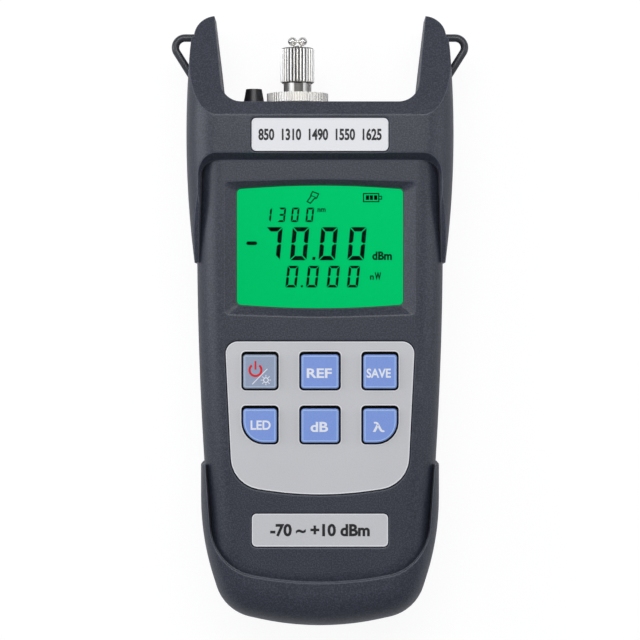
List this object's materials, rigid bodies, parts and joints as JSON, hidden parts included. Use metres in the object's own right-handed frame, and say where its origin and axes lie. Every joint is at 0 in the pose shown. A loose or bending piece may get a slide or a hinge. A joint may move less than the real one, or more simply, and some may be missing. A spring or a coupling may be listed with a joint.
{
  "type": "optical power meter",
  "caption": "Hand-held fibre optical power meter with a backlit display, keypad, guard horns, capped port and sliding battery door.",
  "frame": {"origin": "middle of the outline, on the plane the back rests on", "axes": "+X across the meter to the display's right, +Y towards the fibre port and horns, +Z out of the display"},
  "size_m": [0.0858, 0.1749, 0.033],
  "materials": {
    "housing": "fine spark texture",
    "door": "fine spark texture",
    "loop": "satin",
    "window": "clear",
    "display": "backlit",
    "light_guide": "diffuse",
    "white_plastic": "plain",
    "silver_plate": "fine satin",
    "grey_key": "satin",
    "blue_key": "satin",
    "mat": "matte",
    "circuit_board": "solder mask",
    "chip": "moulded",
    "nickel": "polished",
    "steel": "plain",
    "brass_part": "turned",
    "zirconia": "ground",
    "black_plastic": "moulded",
    "lamp": "clear resin",
    "cell": "wrapped",
    "spring_metal": "plated"
  },
  "bodies": {
    "housing": {"front_case": "housing", "rear_case": "housing", "lanyard_loop_left": "loop", "lanyard_loop_right": "loop", "lcd_window": "window", "lcd_glass": "display", "lcd_backlight": "light_guide", "lcd_frame": "white_plastic", "keypad_plate": "silver_plate", "keypad_mat": "mat", "main_board": "circuit_board", "main_chip": "chip", "board_screws": "steel", "top_nameplate": "silver_plate", "bottom_nameplate": "silver_plate", "detector_port": "brass_part", "port_nut": "nickel", "photodiode": "steel", "detector_board": "circuit_board", "torch_bezel": "black_plastic", "torch_led": "lamp", "battery_1": "cell", "battery_2": "cell", "battery_3": "cell", "contact_springs": "spring_metal", "contact_plates": "spring_metal", "case_screws": "steel"},
    "door": {"battery_door": "door"},
    "adapter": {"fibre_adapter": "nickel", "ferrule_sleeve": "zirconia"},
    "cap_swivel": {"cap_rivet": "nickel", "chain_beads": "nickel"},
    "cap": {"dust_cap": "nickel"},
    "button_power": {"key_power": "grey_key"},
    "button_ref": {"key_ref": "blue_key"},
    "button_save": {"key_save": "blue_key"},
    "button_led": {"key_led": "blue_key"},
    "button_db": {"key_db": "blue_key"},
    "button_wavelength": {"key_wavelength": "blue_key"}
  },
  "joints": [
    {"name": "press_power", "type": "slide", "parent": "housing", "child": "button_power", "axis": [0, 0, -1], "range_m": [0, 0.0008], "stiffness_N_per_m": 1500, "springref_m": -0.0003},
    {"name": "press_ref", "type": "slide", "parent": "housing", "child": "button_ref", "axis": [0, 0, -1], "range_m": [0, 0.0008], "stiffness_N_per_m": 1500, "springref_m": -0.0003},
    {"name": "press_save", "type": "slide", "parent": "housing", "child": "button_save", "axis": [0, 0, -1], "range_m": [0, 0.0008], "stiffness_N_per_m": 1500, "springref_m": -0.0003},
    {"name": "press_led", "type": "slide", "parent": "housing", "child": "button_led", "axis": [0, 0, -1], "range_m": [0, 0.0008], "stiffness_N_per_m": 1500, "springref_m": -0.0003},
    {"name": "press_db", "type": "slide", "parent": "housing", "child": "button_db", "axis": [0, 0, -1], "range_m": [0, 0.0008], "stiffness_N_per_m": 1500, "springref_m": -0.0003},
    {"name": "press_wavelength", "type": "slide", "parent": "housing", "child": "button_wavelength", "axis": [0, 0, -1], "range_m": [0, 0.0008], "stiffness_N_per_m": 1500, "springref_m": -0.0003},
    {"name": "door_slide", "type": "slide", "parent": "housing", "child": "door", "axis": [0, -1, 0], "range_m": [0, 0.082]},
    {"name": "adapter_turn", "type": "hinge", "parent": "housing", "child": "adapter", "pos_m": [-0.0065, 0.07, 0.016], "axis": [0, 1, 0], "range_deg": [0, 1440]},
    {"name": "cap_lift", "type": "slide", "parent": "adapter", "child": "cap_swivel", "axis": [0, 1, 0], "range_m": [0, 0.0105]},
    {"name": "cap_turn", "type": "hinge", "parent": "cap_swivel", "child": "cap", "pos_m": [-0.0065, 0.07, 0.016], "axis": [0, 1, 0], "range_deg": [0, 5041]}
  ],
  "couplings": [
    {"joint": "cap_turn", "follows": "cap_lift", "rad_per_m": 8377.6}
  ]
}
